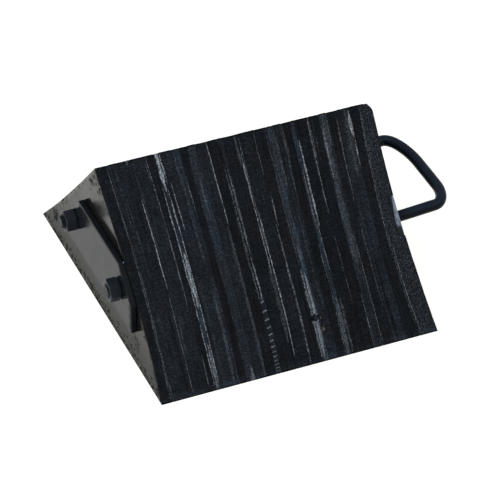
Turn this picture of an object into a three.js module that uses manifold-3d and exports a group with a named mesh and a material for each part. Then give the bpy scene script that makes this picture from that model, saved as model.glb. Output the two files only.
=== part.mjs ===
// Laminated rubber wheel chock: a stack of tyre-rubber plies, cut as a right-angled wedge
// and squeezed between two steel clamp plates by two tie rods, with a bent rod handle at
// one end. Units are millimetres. +X runs along the stack towards the handle, +Z is up,
// and the origin is the centre of the wedge's flat base.

import * as THREE from 'three';
import { mergeVertices } from 'three/addons/utils/BufferGeometryUtils.js';
import Module from 'manifold-3d';

const wasm = await Module();
wasm.setup();

// Wedge.
const baseLength = 380;
const wedgeHeight = 190;
const stackWidth = 330;

// Hardware. The punched holes sit a little towards -Y of the wedge's centre line.
const hardwareShift = -3;
const rodSpacing = 138;
const rodRadius = 8;
const rodHeight = 77;
const handleRodRadius = 6.5;
const plateThickness = 6.35;
const plateBottom = 41;
const plateTop = 113;
const plateEnds = { front: -109.5, back: 98.5 };
const plateCornerCuts = { front: 34.5, back: 48.5 };
const nutAcrossFlats = 24;
const nutThickness = 13;
const nutChamfer = 1.6;
const nutChamferDepth = 1;
const nutSpin = { front: 0.1, back: 0.45 };
const rodPastNut = { front: 1.5, back: 4 };
const threadChamfer = 1.2;

// Handle: a U that stands out from the right-hand plate and rises slightly. Its bends are
// quarter ellipses, the back one much wider than the front one.
const handleReach = 71.8;
const handleBends = {
  front: { out: 17.7, across: 33.6 },
  back: { out: 20, across: 60.2 },
};
const handleRise = THREE.MathUtils.degToRad(4);
const handleRootGap = 0.6;
const weldSize = 5.5;
const weldGap = 0.8;
const weldCurve = { narrow: 0.3, wide: 0.72 };

// How far the plates' zone is pressed in, measured from the stack's end corners.
const leftPress = 3.7;
const rightPress = 5.4;
const rightPressLowShare = 0.6;
const apexInset = 0.6;
const apexCornerRadius = 11;

// How far the seams between plies lean and bow away from their place between the plates:
// at the plates' lower edge, at the apex by the handle end, and at the base.
const seamLean = 2.5;
const seamApexFan = 10;
const seamBaseBow = 2.5;
const seamBaseFlare = 14;
const seamBaseFlarePower = 12;

// Clearances.
const seamGap = 0.3;
const rodHoleClearance = 0.5;

// Ply thicknesses from the nut end to the handle end, where the plates squeeze them.
const plyThicknesses = [
  13, 11, 15, 17.5, 8.5, 5.5, 14.5, 9, 9, 9.5, 13.5, 11, 6.5, 18,
  18.5, 14, 6, 11, 10, 5, 16, 12, 9, 13, 15, 11.5, 17.7,
];

const curveSteps = 6;
const roundSegments = 24;
const handleSteps = 52;
const apexCornerSteps = 5;

const halfStack = stackWidth / 2;
const halfBase = baseLength / 2;
const rodYs = {
  front: hardwareShift - rodSpacing / 2,
  back: hardwareShift + rodSpacing / 2,
};
const leftPlateInnerX = -halfStack + leftPress - seamGap;
const leftPlateOuterX = leftPlateInnerX - plateThickness;
const rightPlateOuterX = halfStack - rightPress;
const rightPlateInnerX = rightPlateOuterX - plateThickness;

// Materials: one colour set per kind of piece.
function material(color, roughness, metalness) {
  return new THREE.MeshStandardMaterial({ color, roughness, metalness });
}

const plyColors = [0x1d2024, 0x24272b, 0x1b1d20, 0x282b30];
const crumbColor = 0x2a2c30;
const steelColor = 0x15171a;
const handleColor = 0x1a1d21;

// Booleans: three.js geometry to a solid and back.
function toSolid(geometry) {
  const bare = geometry.index ? geometry.toNonIndexed() : geometry.clone();
  bare.deleteAttribute('normal');
  bare.deleteAttribute('uv');
  const merged = mergeVertices(bare, 1e-4);
  const mesh = new wasm.Mesh({
    numProp: 3,
    vertProperties: new Float32Array(merged.attributes.position.array),
    triVerts: new Uint32Array(merged.index.array),
  });
  return new wasm.Manifold(mesh);
}

function toGeometry(solid) {
  const mesh = solid.getMesh();
  const geometry = new THREE.BufferGeometry();
  geometry.setAttribute('position', new THREE.BufferAttribute(new Float32Array(mesh.vertProperties), 3));
  geometry.setIndex(new THREE.BufferAttribute(new Uint32Array(mesh.triVerts), 1));
  geometry.computeVertexNormals();
  return geometry;
}

// A shape drawn in X and Z, run along Y between two values.
function extrudeAlongY(points, fromY, toY) {
  const geometry = new THREE.ExtrudeGeometry(new THREE.Shape(points), {
    depth: toY - fromY,
    bevelEnabled: false,
  });
  geometry.rotateX(Math.PI / 2);
  geometry.translate(0, toY, 0);
  return geometry;
}

// A shape drawn in Y and Z, run along X between two values.
function extrudeAlongX(points, fromX, toX) {
  const geometry = new THREE.ExtrudeGeometry(new THREE.Shape(points), {
    depth: toX - fromX,
    bevelEnabled: false,
  });
  const axes = new THREE.Matrix4().makeBasis(
    new THREE.Vector3(0, 1, 0),
    new THREE.Vector3(0, 0, 1),
    new THREE.Vector3(1, 0, 0),
  );
  geometry.applyMatrix4(axes);
  geometry.translate(fromX, 0, 0);
  return geometry;
}

// A cylinder along X between two values.
function cylinderAlongX(radius, fromX, toX, y, z) {
  const geometry = new THREE.CylinderGeometry(radius, radius, toX - fromX, roundSegments);
  geometry.rotateZ(-Math.PI / 2);
  geometry.translate((fromX + toX) / 2, y, z);
  return geometry;
}

// A turned piece along X: profile points are [distance along X, radius].
function turnedAlongX(profile, y, z) {
  const points = profile.map(([along, radius]) => new THREE.Vector2(radius, along));
  const geometry = new THREE.LatheGeometry(points, roundSegments);
  geometry.rotateZ(-Math.PI / 2);
  geometry.translate(0, y, z);
  return geometry;
}

// The seams between plies lean and bow: the plates hold them straight in the middle and
// they fan out towards the apex and the base. Each seam is a smooth curve in X and Z.
const seamHeights = [0, plateBottom, plateTop, wedgeHeight];

function seamCurve(middleX) {
  const along = (middleX + halfStack) / stackWidth;
  const apexOffset = THREE.MathUtils.lerp(-leftPress, seamApexFan, along);
  const bow = seamBaseBow * Math.sin(Math.PI * along);
  const flare = seamBaseFlare * along ** seamBaseFlarePower;
  const offsets = [flare - bow - leftPress, -seamLean, 0, apexOffset];
  return new THREE.SplineCurve(
    offsets.map((offset, i) => new THREE.Vector2(middleX + offset, seamHeights[i])),
  );
}

function leftFaceCurve() {
  const offsets = [0, leftPress, leftPress, 0];
  return new THREE.SplineCurve(
    offsets.map((offset, i) => new THREE.Vector2(-halfStack + offset, seamHeights[i])),
  );
}

// Points up a seam from the base to the apex, shifted along X.
function seamPoints(curve, shift) {
  const points = [];
  const spans = seamHeights.length - 1;
  for (let i = 0; i <= curveSteps * spans; i += 1) {
    const at = curve.getPoint(i / (curveSteps * spans));
    points.push(new THREE.Vector2(at.x + shift, at.y));
  }
  return points;
}

// The handle-end face: bowed in at the plate and rounded over at the apex.
function rightFacePoints() {
  const radius = apexCornerRadius;
  const lift = radius * Math.SQRT1_2;
  const heights = [0, plateBottom, plateTop, wedgeHeight - lift];
  const offsets = [0, -rightPress * rightPressLowShare, -rightPress, -apexInset];
  const curve = new THREE.SplineCurve(
    heights.map((height, i) => new THREE.Vector2(halfStack + offsets[i], height)),
  );
  const points = seamPoints(curve, 0);
  for (let i = 1; i <= apexCornerSteps; i += 1) {
    const turn = (i / apexCornerSteps) * (Math.PI / 2);
    const inset = apexInset + radius * (1 - Math.cos(turn));
    const below = lift * (1 - Math.sin(turn));
    points.push(new THREE.Vector2(halfStack - inset, wedgeHeight - below));
  }
  return points;
}

const wedgeSolid = toSolid(extrudeAlongX(
  [
    new THREE.Vector2(-halfBase, 0),
    new THREE.Vector2(halfBase, 0),
    new THREE.Vector2(0, wedgeHeight),
  ],
  -stackWidth,
  stackWidth,
));

const rodHoleSolids = Object.values(rodYs).map((y) => toSolid(
  cylinderAlongX(rodRadius + rodHoleClearance, -stackWidth, stackWidth, y, rodHeight),
));

// The clamp plate's outline in Y and Z, with its upper corners cut parallel to the slopes.
function plateOutline() {
  const { front, back } = plateEnds;
  return [
    new THREE.Vector2(front, plateBottom),
    new THREE.Vector2(back, plateBottom),
    new THREE.Vector2(back, plateTop - plateCornerCuts.back),
    new THREE.Vector2(back - plateCornerCuts.back, plateTop),
    new THREE.Vector2(front + plateCornerCuts.front, plateTop),
    new THREE.Vector2(front, plateTop - plateCornerCuts.front),
  ];
}

// The seat that the right-hand plate is pressed into. It follows the plate, except that it
// keeps its front corner, so it opens through the front slope above the plate's cut.
function plateSeatOutline() {
  const front = plateEnds.front - seamGap;
  const back = plateEnds.back + seamGap;
  const top = plateTop + seamGap;
  return [
    new THREE.Vector2(front, plateBottom - seamGap),
    new THREE.Vector2(back, plateBottom - seamGap),
    new THREE.Vector2(back, top - plateCornerCuts.back),
    new THREE.Vector2(back - plateCornerCuts.back, top),
    new THREE.Vector2(front, top),
  ];
}

const plateSeatSolid = toSolid(extrudeAlongX(
  plateSeatOutline(),
  rightPlateInnerX - seamGap,
  stackWidth,
));

function plyGeometry(lowSide, highSide, isLast) {
  const outline = [...highSide, ...lowSide.slice().reverse()];
  let solid = toSolid(extrudeAlongY(outline, -baseLength, baseLength)).intersect(wedgeSolid);
  for (const hole of rodHoleSolids) {
    solid = solid.subtract(hole);
  }
  if (isLast) {
    solid = solid.subtract(plateSeatSolid);
  }
  return toGeometry(solid);
}

const chock = new THREE.Group();

function addPiece(name, geometry, pieceMaterial, parent = chock) {
  const mesh = new THREE.Mesh(geometry, pieceMaterial);
  mesh.name = name;
  parent.add(mesh);
  return mesh;
}

// Plies, numbered from the nut end.
function addPlies() {
  let seamX = -halfStack + leftPress;
  let lowSide = seamPoints(leftFaceCurve(), 0);
  plyThicknesses.forEach((thickness, i) => {
    const isLast = i === plyThicknesses.length - 1;
    seamX += thickness;
    const seam = seamCurve(seamX);
    const highSide = isLast ? rightFacePoints() : seamPoints(seam, -seamGap / 2);
    const color = isLast ? crumbColor : plyColors[i % plyColors.length];
    const number = String(i + 1).padStart(2, '0');
    addPiece(`rubber_ply_${number}`, plyGeometry(lowSide, highSide, isLast), material(color, 0.8, 0));
    lowSide = seamPoints(seam, seamGap / 2);
  });
}

// A clamp plate with a hole for each tie rod.
function addPlate(name, fromX, toX) {
  let solid = toSolid(extrudeAlongX(plateOutline(), fromX, toX));
  for (const hole of rodHoleSolids) {
    solid = solid.subtract(hole);
  }
  addPiece(name, toGeometry(solid), material(steelColor, 0.35, 0.4));
}

// A tie rod: flush in the right-hand plate, chamfered past the nut.
function addTieRod(name, y, pastNut) {
  const tip = leftPlateOuterX - seamGap - nutThickness - pastNut;
  const profile = [
    [tip, 0],
    [tip, rodRadius - threadChamfer],
    [tip + threadChamfer, rodRadius],
    [rightPlateOuterX, rodRadius],
    [rightPlateOuterX, 0],
  ];
  addPiece(name, turnedAlongX(profile, y, rodHeight), material(steelColor, 0.4, 0.6));
}

// A hex nut whose outer corners are turned off, with a clear bore for the rod.
function addNut(name, y, spin) {
  const innerX = leftPlateOuterX - seamGap;
  const outerX = innerX - nutThickness;
  const cornerRadius = nutAcrossFlats / Math.sqrt(3);
  const corners = [];
  for (let i = 0; i < 6; i += 1) {
    const angle = spin + (i * Math.PI) / 3;
    const across = y + cornerRadius * Math.cos(angle);
    corners.push(new THREE.Vector2(across, rodHeight + cornerRadius * Math.sin(angle)));
  }
  const hex = toSolid(extrudeAlongX(corners, outerX, innerX));
  const turned = toSolid(turnedAlongX(
    [
      [outerX, 0],
      [outerX, cornerRadius - nutChamfer],
      [outerX + nutChamferDepth, cornerRadius],
      [innerX, cornerRadius],
      [innerX, 0],
    ],
    y,
    rodHeight,
  ));
  const bore = toSolid(cylinderAlongX(rodRadius + seamGap, outerX - 1, innerX + 1, y, rodHeight));
  addPiece(name, toGeometry(hex.intersect(turned).subtract(bore)), material(steelColor, 0.35, 0.6));
}

// The handle's centre line in its own frame: out along X, across along Y and back.
class HandleCurve extends THREE.Curve {
  getPoint(t, target = new THREE.Vector3()) {
    const side = t < 0.5 ? -1 : 1;
    const bend = t < 0.5 ? handleBends.front : handleBends.back;
    const leg = handleReach - bend.out;
    const arc = Math.hypot(bend.out, bend.across);
    const halfGrip = rodSpacing / 2 - bend.across;
    const fromMiddle = Math.abs(2 * t - 1) * (leg + arc + halfGrip);
    if (fromMiddle < halfGrip) {
      return target.set(handleReach, side * fromMiddle, 0);
    }
    if (fromMiddle < halfGrip + arc) {
      const turn = ((fromMiddle - halfGrip) / arc) * (Math.PI / 2);
      const across = halfGrip + bend.across * Math.sin(turn);
      return target.set(leg + bend.out * Math.cos(turn), side * across, 0);
    }
    return target.set(leg + arc + halfGrip - fromMiddle, (side * rodSpacing) / 2, 0);
  }
}

function addHandle() {
  const section = new THREE.Shape();
  section.absarc(0, 0, handleRodRadius, 0, Math.PI * 2, false);
  const geometry = new THREE.ExtrudeGeometry(section, {
    steps: handleSteps,
    curveSegments: roundSegments / 2,
    bevelEnabled: false,
    extrudePath: new HandleCurve(),
  });
  const handle = addPiece('handle', geometry, material(handleColor, 0.3, 0.5));
  handle.position.set(rightPlateOuterX + handleRootGap, hardwareShift, rodHeight);
  handle.rotation.y = -handleRise;
}

// A fillet weld round the foot of a handle leg, standing on the plate.
function addWeld(name, y) {
  const inner = handleRodRadius + weldGap;
  const footX = rightPlateOuterX + seamGap;
  const profile = [
    [footX, inner],
    [footX, inner + weldSize],
    [footX + weldSize * weldCurve.narrow, inner + weldSize * weldCurve.wide],
    [footX + weldSize * weldCurve.wide, inner + weldSize * weldCurve.narrow],
    [footX + weldSize, inner],
    [footX, inner],
  ];
  addPiece(name, turnedAlongX(profile, y, rodHeight), material(steelColor, 0.5, 0.4));
}

addPlies();
addPlate('clamp_plate_nut_end', leftPlateOuterX, leftPlateInnerX);
addPlate('clamp_plate_handle_end', rightPlateInnerX, rightPlateOuterX);
for (const side of ['front', 'back']) {
  addTieRod(`tie_rod_${side}`, rodYs[side], rodPastNut[side]);
  addNut(`nut_${side}`, rodYs[side], nutSpin[side]);
  addWeld(`handle_weld_${side}`, rodYs[side]);
}
addHandle();

export default chock;
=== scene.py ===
# Laminated rubber wheel chock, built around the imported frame. Metres, +X along the stack
# towards the handle, +Z up. Lengths written in millimetres are multiplied by MM, except in
# the streak, rung and torn tables, which the ply materials read in millimetres.

import bpy
import bmesh
import math
import numpy as np
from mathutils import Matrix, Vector
from mathutils.bvhtree import BVHTree
from mathutils.geometry import delaunay_2d_cdt


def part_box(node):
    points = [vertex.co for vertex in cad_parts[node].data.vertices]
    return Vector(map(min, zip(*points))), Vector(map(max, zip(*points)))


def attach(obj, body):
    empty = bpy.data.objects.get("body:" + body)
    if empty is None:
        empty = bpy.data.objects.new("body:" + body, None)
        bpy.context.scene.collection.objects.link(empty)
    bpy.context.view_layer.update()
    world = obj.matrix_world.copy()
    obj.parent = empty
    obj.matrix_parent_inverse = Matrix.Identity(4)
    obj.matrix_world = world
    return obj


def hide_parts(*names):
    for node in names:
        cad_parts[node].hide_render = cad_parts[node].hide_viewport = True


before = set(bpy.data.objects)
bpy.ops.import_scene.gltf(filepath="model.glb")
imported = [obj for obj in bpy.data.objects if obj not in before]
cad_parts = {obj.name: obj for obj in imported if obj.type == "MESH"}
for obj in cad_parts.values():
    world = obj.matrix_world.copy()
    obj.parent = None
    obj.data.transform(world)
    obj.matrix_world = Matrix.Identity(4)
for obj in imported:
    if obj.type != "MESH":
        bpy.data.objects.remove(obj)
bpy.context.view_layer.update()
scene = bpy.context.scene
MM = 0.001

# ---- sizes from the frame
PLY_COUNT = 27
PLY_NAMES = [f"rubber_ply_{number:02d}" for number in range(1, PLY_COUNT + 1)]
_, wedge_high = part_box(PLY_NAMES[0])
HALF_BASE = wedge_high.y
HEIGHT = wedge_high.z
SLOPE = math.hypot(HALF_BASE, HEIGHT)
PLATE_LOW, PLATE_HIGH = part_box("clamp_plate_handle_end")
NUT_PLATE_LOW, NUT_PLATE_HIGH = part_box("clamp_plate_nut_end")
SEAT_GAP = 0.3 * MM
ROD_RADIUS = 8.0 * MM
HOLE_RADIUS = 8.5 * MM
HOLE_SEGMENTS = 32


def middle_of(node):
    low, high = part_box(node)
    return (low + high) / 2


ROD_CENTRES = {side: middle_of(f"tie_rod_{side}") for side in ("front", "back")}

# ---- rubber plies
# Base tone of each ply's cut face, and the plies named as paler rubber.
PLY_TONES = [
    0.0065, 0.011, 0.01, 0.011, 0.008, 0.02, 0.0115, 0.014, 0.006,
    0.0165, 0.0105, 0.006, 0.012, 0.007, 0.0085, 0.007, 0.024, 0.011,
    0.006, 0.019, 0.0062, 0.006, 0.016, 0.0075, 0.0125, 0.0068, 0.0105,
]
GREY_PLIES = {2, 6, 10, 13, 17, 18, 20, 23}
CRUMB_PLY = 27

# Streaks of cord and fabric on the cut faces, by ply number: place across the ply from 0 at
# the nut end to 1, width in millimetres, where it starts and ends from the apex (0) to the
# base edge (1), added tone, and how broken it is from 0 (solid) to 1 (dots).
STREAKS = {
    1: [(0.95, 1.3, 0, 1, 0.045, 0.3)],
    2: [(0.62, 1.5, 0, 0.35, 0.01, 0.6), (0.9, 1.6, 0.15, 0.5, 0.012, 0.6),
        (0.06, 1.2, 0.45, 1, 0.03, 0.3)],
    3: [(0.97, 1.5, 0.17, 0.56, 0.16, 0.15), (0.97, 1.3, 0.56, 1, 0.06, 0.6),
        (0.7, 6, -0.1, 0.025, 0.06, 0.5), (0.42, 1.2, 0.33, 0.4, 0.03, 0.7)],
    4: [(0.86, 1.3, 0.02, 0.13, 0.04, 0.7), (0.98, 1.7, 0, 0.66, 0.06, 0.3),
        (0.15, 1.2, 0.7, 0.82, 0.03, 0.5), (0.06, 2.4, 0.05, 0.45, 0.01, 0.6)],
    5: [(0.95, 1.6, 0.14, 0.98, 0.13, 0.3), (0.15, 1.8, 0.84, 0.98, 0.05, 0.4)],
    6: [(0.5, 4.6, -0.1, 0.17, 0.15, 0.35), (0.92, 1.4, 0.15, 0.98, 0.13, 0.3),
        (0.42, 4, 0.42, 0.66, 0.13, 0.3), (0.45, 3.2, 0.8, 1, 0.06, 0.4)],
    7: [(0.33, 1.2, 0.13, 0.34, 0.1, 0.3), (0.05, 1.8, 0, 0.14, 0.12, 0.4),
        (0.35, 3, 0.55, 1, 0.007, 0.6)],
    8: [(0.35, 3.2, 0.6, 1, 0.018, 0.4), (0.9, 1.2, 0.14, 0.28, 0.06, 0.35),
        (0.25, 2.5, 0, 0.5, 0.012, 0.5)],
    9: [(0.97, 1.2, 0, 1, 0.022, 0.5)],
    10: [(0.45, 1.8, 0.15, 0.32, 0.026, 0.4), (0.7, 5, 0.93, 1.1, 0.06, 0.6)],
    11: [(0.92, 1.7, 0, 0.36, 0.1, 0.25), (0.84, 3.4, 0.36, 1, 0.018, 0.4)],
    12: [(0.93, 1.2, 0.3, 0.66, 0.022, 0.5)],
    13: [(0.05, 1.4, 0.13, 0.7, 0.05, 0.7), (0.55, 2.1, 0.13, 0.5, 0.065, 0.85),
         (0.55, 2.1, 0.5, 0.7, 0.12, 0.85)],
    14: [(0.74, 3.2, 0, 0.14, 0.03, 0.4), (0.87, 1.4, 0.08, 0.6, 0.1, 0.3),
         (0.98, 1.1, 0, 0.5, 0.055, 0.35), (0.82, 4.5, 0.55, 0.9, 0.022, 0.6)],
    15: [(0.03, 1.4, 0.33, 0.95, 0.115, 0.3), (0.93, 1.9, 0.4, 1, 0.06, 0.6),
         (0.92, 1.8, 0, 0.2, 0.03, 0.7)],
    16: [(0.05, 1.5, 0.27, 0.42, 0.09, 0.3), (0.9, 2.2, 0, 0.6, 0.02, 0.5),
         (0.9, 2.8, 0.6, 0.985, 0.06, 0.1)],
    17: [(0.3, 3.6, 0.62, 0.985, 0.085, 0.15), (0.35, 4, 0.5, 0.62, 0.02, 0.5)],
    18: [(0.1, 3, 0, 0.3, 0.018, 0.4), (0.93, 1.4, 0, 0.35, 0.028, 0.4),
         (0.6, 2, 0.35, 0.8, 0.01, 0.6)],
    19: [(0.06, 1.4, 0, 0.2, 0.024, 0.4), (0.97, 1.5, 0.52, 1, 0.06, 0.7)],
    20: [(0.5, 1.4, 0.2, 0.5, 0.045, 0.4), (0.95, 1.4, 0.4, 0.65, 0.09, 0.4),
         (0.55, 6, 0.75, 1, 0.03, 0.6)],
    21: [(0.06, 1.8, 0.08, 0.46, 0.13, 0.3), (0.95, 1.5, 0, 0.42, 0.075, 0.3),
         (0.95, 1.3, 0.5, 0.8, 0.03, 0.5), (0.15, 3, 0.75, 1, 0.03, 0.6)],
    22: [(0.06, 1.3, 0, 0.22, 0.034, 0.5), (0.35, 1.2, 0, 0.2, 0.014, 0.6),
         (0.96, 1.2, 0.76, 0.99, 0.09, 0.3)],
    23: [(0.25, 2.2, 0.06, 0.28, 0.055, 0.5), (0.95, 1, 0, 0.15, 0.055, 0.4),
         (0.5, 6.5, -0.1, 0.66, 0.015, 0.4)],
    24: [(0.05, 1.3, 0.5, 1, 0.045, 0.5), (0.05, 1.2, 0, 0.5, 0.014, 0.5),
         (0.86, 1.4, 0.02, 0.4, 0.045, 0.4), (0.9, 1.7, 0.45, 0.85, 0.024, 0.5)],
    25: [(0.86, 3.8, 0.01, 0.13, 0.15, 0.3), (0.95, 1.4, 0.09, 0.26, 0.11, 0.7),
         (0.6, 5.5, 0, 0.3, 0.012, 0.3)],
    26: [(0.93, 1.5, 0, 0.66, 0.05, 0.6)],
    27: [(0.04, 1.2, 0, 0.9, 0.02, 0.6), (0.14, 1, 0.6, 1, 0.05, 0.5)],
}
# Dark streaks, in the same terms; the last number is how much of the tone they take away.
DARK_STREAKS = {
    3: [(0.55, 4.5, 0.15, 0.35, 0.45), (0.6, 4.5, 0.65, 1, 0.5)],
    5: [(0.75, 2, 0.1, 0.98, 0.35)],
    6: [(0.5, 2.4, 0.18, 0.42, 0.55)],
    7: [(0.14, 1.5, 0.15, 0.34, 0.85), (0.1, 1.2, 0.34, 0.9, 0.6)],
    13: [(0.2, 2.8, 0.02, 0.13, 0.85), (0.3, 1.6, 0.13, 0.7, 0.65)],
    16: [(0.55, 2, 0.6, 0.98, 0.5)],
    23: [(0.8, 1.3, 0, 0.1, 0.8), (0.5, 6.5, 0.68, 1, 0.35)],
    25: [(0.3, 2.5, 0.62, 1, 0.6)],
    27: [(0.08, 1, 0.55, 1, 0.6), (0.97, 3.4, 0, 1, 0.45)],
}
# Rungs of cord across one ply near the base edge, their pitches in millimetres, and the torn
# place across two others: its middle as a share of each, and its half width in millimetres.
RUNG_PLY = 13
RUNG_START = 0.69
RUNG_PITCHES = (11.5, 2.8)
RUNG_TURNS = (1 - RUNG_START) * SLOPE / MM / (RUNG_PITCHES[0] - RUNG_PITCHES[1])
TORN_PLIES = {16: 1.07, 17: 0.17}
TORN_ALONG = 0.815
TORN_HALF_LENGTH = 0.015
TORN_HALF_WIDTH = 7.0
# Tan fabric specks showing through: ply number, place and radius.
TAN_SPECKS = [
    (18, (0.0360, -0.1646, 0.0254), 0.0030),
    (18, (0.0358, -0.1555, 0.0345), 0.0022),
]
# Smudges on the nut end of the stack: middle, radius and strength.
SKIN_SMUDGES = [
    ((-0.161, 0.150, 0.026), 0.015, 0.9),
    ((-0.161, -0.107, 0.024), 0.016, 0.85),
    ((-0.161, 0.018, 0.160), 0.012, 0.9),
]

CONTOUR_STEP = 1.7 * MM
BASE_STEP = 9.0 * MM
APEX_ZONE = 12 * MM
APEX_STEP = 0.6 * MM
APEX_RADIUS = 0.9 * MM
FOOT_RADIUS = 0.45 * MM
COLUMN_STEP = 1.15 * MM
EDGE_ROUNDING = [(0.0, 0.36 * MM), (0.2 * MM, 0.12 * MM), (0.6 * MM, 0.02 * MM)]
# How far each ply is widened towards its neighbours, so that they look pressed together.
PLY_SPREAD = 0.12 * MM
WALL = 0.02 * MM
DENT_DEPTH = 0.22 * MM
RUNG_DEPTH = 0.4 * MM
TORN_DEPTH = 1.2 * MM
CHIP_DEPTH = 0.5 * MM
NOISE_CELLS = 128


def value_noise(along, across, spacing, seed):
    """Smooth random relief from -1 to 1. spacing is one number, or one for each direction."""
    table = np.random.default_rng(seed).uniform(-1, 1, (NOISE_CELLS, NOISE_CELLS))
    spacing_along, spacing_across = np.broadcast_to(spacing, 2)
    a = along / spacing_along
    b = across / spacing_across
    i = np.floor(a).astype(int)
    j = np.floor(b).astype(int)
    a = a - i
    b = b - j
    a = a * a * (3 - 2 * a)
    b = b * b * (3 - 2 * b)

    def corner(di, dj):
        return table[(i + di) % NOISE_CELLS, (j + dj) % NOISE_CELLS]

    near = corner(0, 0) * (1 - a) + corner(1, 0) * a
    far = corner(0, 1) * (1 - a) + corner(1, 1) * a
    return near * (1 - b) + far * b


def raised_noise(*where):
    """The same noise from 0 to 1."""
    return 0.5 + 0.5 * value_noise(*where)


def rounded_outline(corners, radii, step_for, stops=()):
    """A closed outline in Y and Z with rounded corners. Each row is y, z, outward normal y and z.

    The corners run clockwise as seen from +X, with +Y to the right."""
    rows = []
    count = len(corners)
    arcs = []
    for index, corner in enumerate(corners):
        corner = np.array(corner, float)
        before = np.array(corners[index - 1], float) - corner
        after = np.array(corners[(index + 1) % count], float) - corner
        before /= np.linalg.norm(before)
        after /= np.linalg.norm(after)
        half = math.acos(float(np.clip(before @ after, -1, 1))) / 2
        radius = radii[index]
        centre = corner + (before + after) / np.linalg.norm(before + after) * radius / math.sin(half)
        tangent = radius / math.tan(half)
        arcs.append((corner + before * tangent, corner + after * tangent, centre, radius))
    for index, (enter, leave, centre, radius) in enumerate(arcs):
        first = (enter - centre) / radius
        last = (leave - centre) / radius
        for share in np.linspace(0, 1, 5):
            normal = first * (1 - share) + last * share
            normal /= np.linalg.norm(normal)
            rows.append([*(centre + normal * radius), *normal])
        goal = arcs[(index + 1) % count][0]
        length = np.linalg.norm(goal - leave)
        direction = (goal - leave) / length
        places = {0.0, length}
        at = 0.0
        while at < length:
            at += step_for(leave + direction * at)
            places.add(min(at, length))
        for stop in stops:
            crossing = stop(leave, direction)
            if crossing is not None and 0 < crossing < length:
                places = {p for p in places if abs(p - crossing) > 0.4 * MM}
                places |= {crossing - WALL, crossing + WALL}
        for place in sorted(places)[1:-1]:
            if length - place > 0.3 * MM:
                rows.append([*(leave + direction * place), *last])
    return np.array(rows)


def wedge_step(point):
    if point[1] < 1e-4:
        return BASE_STEP
    if HEIGHT - point[1] < APEX_ZONE:
        return APEX_STEP
    return CONTOUR_STEP


def crossing_of(axis, value):
    """Where a straight run crosses y = value (axis 0) or z = value (axis 1)."""

    def stop(start, direction):
        if abs(direction[axis]) < 1e-6 or abs(direction[1]) < 1e-6:
            return None
        return (value - start[axis]) / direction[axis]

    return stop


PLATE_CUTS = {"front": 34.5 * MM, "back": 48.5 * MM}
SEAT_FRONT = PLATE_LOW.y - SEAT_GAP
SEAT_BACK = PLATE_HIGH.y + SEAT_GAP
SEAT_BOTTOM = PLATE_LOW.z - SEAT_GAP
SEAT_TOP = PLATE_HIGH.z + SEAT_GAP
SEAT_FLOOR = PLATE_LOW.x - SEAT_GAP
SEAT_SLANT = SEAT_BACK + SEAT_TOP - PLATE_CUTS["back"]
WEDGE_OUTLINE = rounded_outline(
    [(-HALF_BASE, 0), (0, HEIGHT), (HALF_BASE, 0)],
    [FOOT_RADIUS, APEX_RADIUS, FOOT_RADIUS],
    wedge_step,
    [crossing_of(0, SEAT_FRONT), crossing_of(1, SEAT_TOP)],
)


def in_seat(y, z):
    upright = (y > SEAT_FRONT) & (y < SEAT_BACK) & (z > SEAT_BOTTOM) & (z < SEAT_TOP)
    return upright & (y + z < SEAT_SLANT)


def angles(count):
    """Angles round a circle, in equal steps from 0."""
    return np.arange(count) * 2 * math.pi / count


def circle(centre, radius):
    turn = angles(HOLE_SEGMENTS)
    return np.column_stack([centre.y + radius * np.cos(turn), centre.z + radius * np.sin(turn)])


def filled_face(outline, holes, spacing, walls=()):
    """Triangles between an outline and its holes, on a grid of the given spacing.

    Returns the points inside and the triangles. Points are numbered outline first, then the
    holes, then the points inside. Each wall is a chain of outline indexes and new points."""
    points = [Vector(p) for p in outline]
    edges = [(i, (i + 1) % len(outline)) for i in range(len(outline))]
    for hole in holes:
        first = len(points)
        points += [Vector(p) for p in hole]
        edges += [(first + i, first + (i + 1) % len(hole)) for i in range(len(hole))]
    fixed = len(points)
    for wall in walls:
        chain = []
        for item in wall:
            if isinstance(item, int):
                chain.append(item)
            else:
                chain.append(len(points))
                points.append(Vector(item))
        edges += list(zip(chain[:-1], chain[1:]))
    known = np.array([tuple(p) for p in points])
    lowest = known.min(0)
    highest = known.max(0)
    row_height = spacing * math.sqrt(3) / 2
    rows = int((highest[1] - lowest[1]) / row_height)
    for row in range(1, rows + 1):
        z = lowest[1] + row * row_height
        shift = spacing / 2 * (row % 2)
        for y in np.arange(lowest[0] + shift, highest[0], spacing):
            here = np.array([y, z])
            if not inside(here, outline) or any(inside(here, hole) for hole in holes):
                continue
            if np.min(np.sum((known - here) ** 2, axis=1)) > (0.55 * spacing) ** 2:
                points.append(Vector(here))
    face = list(range(len(outline)))
    made, _, triangles, origins, *_ = delaunay_2d_cdt(points, edges, [face], 1, 1e-9)
    number = [origin[0] for origin in origins]
    kept = []
    for triangle in triangles:
        corners = [number[i] for i in triangle]
        middle = np.mean([tuple(made[i]) for i in triangle], axis=0)
        if not any(inside(middle, hole) for hole in holes):
            kept.append(corners)
    return np.array([tuple(p) for p in points[fixed:]]).reshape(-1, 2), kept


def inside(point, outline):
    """True if a point lies within a closed outline."""
    y, z = point
    a = outline[:, :2]
    b = np.roll(a, -1, axis=0)
    spans = (a[:, 1] > z) != (b[:, 1] > z)
    a, b = a[spans], b[spans]
    crossing = a[:, 0] + (z - a[:, 1]) / (b[:, 1] - a[:, 1]) * (b[:, 0] - a[:, 0])
    return bool(np.count_nonzero(crossing > y) % 2)


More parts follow.
